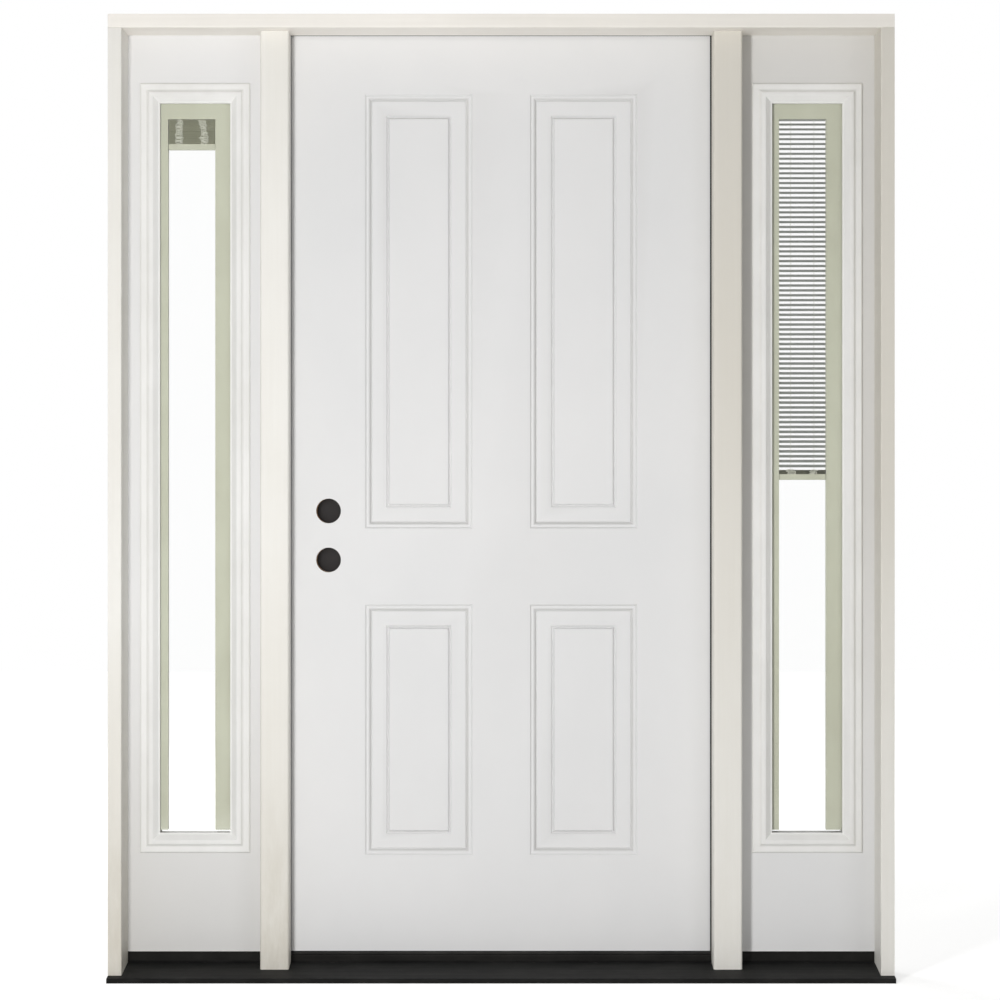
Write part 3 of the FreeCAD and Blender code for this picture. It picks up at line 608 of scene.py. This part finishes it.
def turned(shape, profile, centre, axis, sides):
    """A profile of (radius, rise) points turned about an axis through a centre, its last point the tip."""
    turn_to_axis = Vector(axis).to_track_quat("Z", "Y").to_matrix()
    rings = []
    for radius, rise in profile[:-1]:
        local = [Vector((radius * math.cos(t), radius * math.sin(t), rise)) for t in round_turns(sides)]
        rings.append([shape.verts.new(centre + turn_to_axis @ spot) for spot in local])
    tip = shape.verts.new(centre + turn_to_axis @ Vector((0, 0, profile[-1][1])))
    skinned(shape, rings)
    for turn in range(sides):
        shape.faces.new((rings[-1][turn], rings[-1][(turn + 1) % sides], tip))
    shape.faces.new(rings[0])


# Blinds

def slat_section(y_middle, z_low, lean):
    """A thin crowned strip in section, leaning a little."""
    half = SLAT_WIDTH / 2
    across = [-half + SLAT_WIDTH * step / SLAT_STEPS for step in range(SLAT_STEPS + 1)]
    under = [(y, z_low + SLAT_CROWN * (1 - (y / half) ** 2) + lean * y) for y in across]
    over = [(y, z + SLAT_SHEET) for y, z in under]
    return [(y_middle + y, z) for y, z in under + over[::-1]]


def gathered_slats(side, material, draws):
    """Slats lying on one another over the bottom rail, none quite in line with the next."""
    node = side + "_blind_stack"
    low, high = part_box(node)
    top = min(high.z + STACK_SPRING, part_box(side + "_blind_ladders")[1].z)
    count = int((top - low.z - SLAT_CROWN) / STACK_PITCH)
    shape = bmesh.new()
    for index in range(count):
        shift = draws.uniform(-1, 1) * SLAT_SHUFFLE
        y_middle = (low.y + high.y) / 2 + draws.uniform(-1, 1) * SLAT_SHUFFLE
        lean = draws.uniform(-SLAT_LEAN, SLAT_LEAN)
        section = slat_section(y_middle, low.z + index * STACK_PITCH, lean)
        drawn_out(shape, section, (low.x + SLAT_SHUFFLE + shift, high.x - SLAT_SHUFFLE + shift))
    made = piece(side + "_gathered_slats", shape, material, "frame")
    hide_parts(node)


def loop_points(foot, reach, bulge, rise):
    """Half a turn of string that starts below a foot, swings out from it and ends above it."""
    points = []
    for step in range(LOOP_STEPS + 1):
        turn = math.pi * step / LOOP_STEPS
        swing = Vector((reach * math.sin(turn), bulge * math.sin(turn), -rise * math.cos(turn)))
        points.append(foot + swing)
    return points


def string_loops(side, material, draws):
    """Slack ladder strings bulging from the gathered slats in small loops."""
    low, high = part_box(side + "_blind_stack")
    near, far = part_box(side + "_blind_ladders")
    shape = bmesh.new()
    for x_ladder in (near.x + LADDER_WIDTH / 2, far.x - LADDER_WIDTH / 2):
        for facing, way in ((-1, -1), (-1, 1), (1, -1), (1, 1)):
            y_face = (low.y if facing < 0 else high.y) + facing * LOOP_RADIUS
            slack = draws.uniform(*LOOP_FIRST_SLACK)
            for row in range(int((high.z - low.z) / LOOP_PITCH)):
                z_row = low.z + (row + draws.uniform(*LOOP_ROW_PLACE)) * LOOP_PITCH
                slack += draws.uniform(-LOOP_SLACK_STEP, LOOP_SLACK_STEP)
                slack = min(LOOP_SLACK[1], max(LOOP_SLACK[0], slack))
                bulge = facing * LOOP_BULGE * draws.uniform(*LOOP_BULGE_SHARE)
                rise = LOOP_STRAY * draws.uniform(*LOOP_STRAY_SHARE)
                foot = Vector((x_ladder, y_face, z_row))
                tube(shape, loop_points(foot, way * LOOP_REACH * slack, bulge, rise), LOOP_RADIUS)
    piece(side + "_ladder_loops", shape, material, "frame")


def ladder_strings(side, material):
    """Thin strings in front of and behind the blind, with a rung under each hanging slat."""
    node = side + "_blind_ladders"
    slats = side + "_blind_slats"
    near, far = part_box(node)
    z_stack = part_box(side + "_blind_stack")[1].z
    fronts = (near.y + STRING_RADIUS, far.y - STRING_RADIUS)
    z_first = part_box(slats)[1].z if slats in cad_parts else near.z
    z_first -= SLAT_WIDTH / 2 * math.sin(SLAT_TILT) + RUNG_DROP
    rise = (fronts[1] - fronts[0]) / 2 * math.tan(SLAT_TILT)
    shape = bmesh.new()
    for x in (near.x + LADDER_WIDTH / 2, far.x - LADDER_WIDTH / 2):
        for y in fronts:
            tube(shape, [Vector((x, y, z)) for z in (near.z, z_stack, far.z)], STRING_RADIUS)
        for row in range(max(0, int((z_first - z_stack) / SLAT_PITCH) + 1)):
            z = z_first - row * SLAT_PITCH
            rung = [Vector((x, y, z + lift)) for y, lift in zip(fronts, (-rise, rise))]
            tube(shape, rung, STRING_RADIUS)
    made = piece(side + "_ladder_strings", shape, material, "frame")
    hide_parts(node)


def top_slat(side, material):
    """The highest slat of a lowered blind, drawn up under the top of its opening."""
    low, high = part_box(side + "_blind_slats")
    z_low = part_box(side + "_blind_ladders")[1].z - TOP_SLAT_DROP
    shape = bmesh.new()
    drawn_out(shape, slat_section((low.y + high.y) / 2, z_low, TOP_SLAT_LEAN), (low.x, high.x))
    piece(side + "_top_slat", shape, material, "frame")


# Screws, plugs and sealant

def screw_head(shape, centre, axis):
    """A flat countersunk head with a tapered recess."""
    profile = [(SCREW_RADIUS, 0.0), (SCREW_RADIUS, SCREW_PROUD)]
    profile.append((SCREW_RADIUS * SCREW_MOUTH, SCREW_PROUD))
    profile.append((SCREW_RADIUS * SCREW_THROAT, SCREW_PROUD - SCREW_CHAMFER))
    profile.append((SCREW_SLOT, -SCREW_SLOT_DEPTH * SCREW_SLOT_WALL))
    profile.append((0, -SCREW_SLOT_DEPTH))
    turned(shape, profile, centre, axis, SCREW_SIDES)


def hinge_screws(name, node, x_face, axis, material, body):
    """Three staggered screws in each plate."""
    low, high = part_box(node)
    y_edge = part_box("door_inner_skin")[1].y
    span = high.z - low.z - HINGE_HEIGHT
    shape = bmesh.new()
    for index in range(HINGES):
        z_middle = low.z + HINGE_HEIGHT / 2 + span * index / (HINGES - 1)
        for row, rise in enumerate(SCREW_ROWS):
            y = y_edge - SCREW_COLUMNS[row % len(SCREW_COLUMNS)]
            screw_head(shape, Vector((x_face, y, z_middle + rise)), axis)
    piece(name, shape, material, body)


def lite_plugs(side, material):
    """Domed caps over the screws that clamp the two lite frames, on the indoor one."""
    low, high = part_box(side + "_inner_lite_frame")
    y_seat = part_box(side + "_sidelight_panel")[1].y + PLUG_SEAT
    profile = [(PLUG_RADIUS * out, PLUG_CROWN * up) for out, up in PLUG_PROFILE]
    count = int((high.z - low.z) / PLUG_SPACING)
    step = (high.z - low.z - PLUG_SPACING) / (count - 1)
    spots = []
    for x in (low.x + PLUG_INSET, high.x - PLUG_INSET):
        spots += [(x, low.z + PLUG_SPACING / 2 + step * index) for index in range(count)]
    spots += [((low.x + high.x) / 2, z) for z in (low.z + PLUG_INSET, high.z - PLUG_INSET)]
    shape = bmesh.new()
    for x, z in spots:
        turned(shape, profile, Vector((x, y_seat, z)), (0, 1, 0), PLUG_SIDES)
    piece(side + "_lite_plugs", shape, material, "frame")


def caulk_bead(side, material):
    """A tooled bead of sealant where the sidelight meets its sill cap."""
    low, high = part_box(side + "_sidelight_panel")
    section = [(low.y, low.z)]
    for step in range(CAULK_STEPS + 1):
        turn = math.pi / 2 * step / CAULK_STEPS
        section.append((low.y - CAULK_RADIUS * math.sin(turn), low.z + CAULK_RADIUS * math.cos(turn)))
    shape = bmesh.new()
    drawn_out(shape, section, (low.x, high.x))
    piece(side + "_caulk_bead", shape, material, "frame")


def fittings(wears):
    """Everything small that rides on the frame or the door."""
    draws = random.Random(SEED)
    for side in SIDES:
        gathered_slats(side, wears[side + "_blind_stack"], draws)
        string_loops(side, wears[side + "_blind_ladders"], draws)
        ladder_strings(side, wears[side + "_blind_ladders"])
        lite_plugs(side, wears[side + "_inner_lite_frame"])
        caulk_bead(side, wears[side + "_sidelight_panel"])
        if side + "_blind_slats" in wears:
            top_slat(side, wears[side + "_blind_slats"])
    steel = wears["hinge_pins"]
    x_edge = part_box("door_hinge_stile")[1].x
    x_frame = x_edge + LEAF_GAP - HINGE_PROUD
    x_door = x_edge + HINGE_PROUD
    hinge_screws("hinge_frame_screws", "hinge_frame_leaves", x_frame, (-1, 0, 0), steel, "frame")
    hinge_screws("hinge_door_screws", "hinge_door_leaves", x_door, (1, 0, 0), steel, "door_leaf")


# Scene

def seen_ray(tree):
    """1 for rays that show the background: from the camera, off gloss or through glass."""
    path = add(tree, "LightPath").outputs
    seen = reckon(tree, "MAXIMUM", path["Is Camera Ray"], path["Is Glossy Ray"])
    return reckon(tree, "MAXIMUM", seen, path["Is Transmission Ray"])


def sky():
    """An even pale sky that shows white behind the door."""
    world = bpy.data.worlds.new("studio")
    bpy.context.scene.world = world
    world.use_nodes = True
    tree = world.node_tree
    tree.nodes.clear()
    light = add(tree, "Background", inputs={"Color": WHITE, "Strength": SKY_LEVEL}).outputs[0]
    shown = add(tree, "Background", inputs={"Color": WHITE, "Strength": BACKGROUND_LEVEL}).outputs[0]
    both_skies = add(tree, "MixShader", inputs={0: seen_ray(tree), 1: light, 2: shown}).outputs[0]
    add(tree, "OutputWorld", inputs={"Surface": both_skies})


def floor_finish():
    """A pale matte floor that glows a little more the farther it is from the door."""
    material, tree = blank("floor")
    matte = add(tree, "BsdfDiffuse", inputs={"Color": FLOOR_COLOUR}).outputs[0]
    away = add(tree, "VectorMath", {"operation": "LENGTH"}, {0: own(tree)}).outputs["Value"]
    level = spread(tree, away, *FLOOR_GLOW_REACH, *FLOOR_GLOW)
    strength = reckon(tree, "MULTIPLY", seen_ray(tree), level)
    glow = add(tree, "Emission", inputs={"Strength": strength}).outputs[0]
    lit = add(tree, "AddShader", inputs={0: matte, 1: glow}).outputs[0]
    add(tree, "OutputMaterial", inputs={"Surface": lit})
    return material


def floor():
    """A pale floor, white where it is lit and grey in the door's shadow."""
    half = FLOOR_SIZE / 2
    corners = [(half * x, half * y, 0) for x, y in ((-1, -1), (1, -1), (1, 1), (-1, 1))]
    mesh = bpy.data.meshes.new("floor")
    mesh.from_pydata(corners, [], [(0, 1, 2, 3)])
    mesh.materials.append(floor_finish())
    stand("floor", mesh)


def lamp(name, spot, size, power):
    """A soft lamp turned to the middle of the door, itself out of sight."""
    light = bpy.data.lights.new(name, "AREA")
    light.shape = "RECTANGLE"
    light.size, light.size_y = size
    light.energy = power
    made = stand(name, light)
    made.location = spot
    aim = (cad_box[0] + cad_box[1]) / 2 - Vector(spot)
    made.rotation_euler = aim.to_track_quat("-Z", "Y").to_euler()
    made.visible_camera = False
    made.visible_glossy = False


def camera():
    """A level camera that faces the door."""
    lens = bpy.data.cameras.new("camera")
    lens.lens = CAMERA_LENS
    lens.sensor_width = CAMERA_SENSOR
    made = stand("camera", lens)
    made.location = CAMERA_PLACE
    made.rotation_euler = (math.pi / 2, 0, 0)
    bpy.context.scene.camera = made


def main():
    """The stage first, then the part's finishes and small fittings."""
    bpy.context.scene.view_settings.view_transform = "Standard"
    camera()
    sky()
    floor()
    lamp("key", KEY_PLACE, KEY_SIZE, KEY_POWER)
    lamp("fill", FILL_PLACE, FILL_SIZE, FILL_POWER)
    lamp("back", BACK_PLACE, BACK_SIZE, BACK_POWER)
    wears = finishes()
    dress(wears)
    fittings(wears)


main()
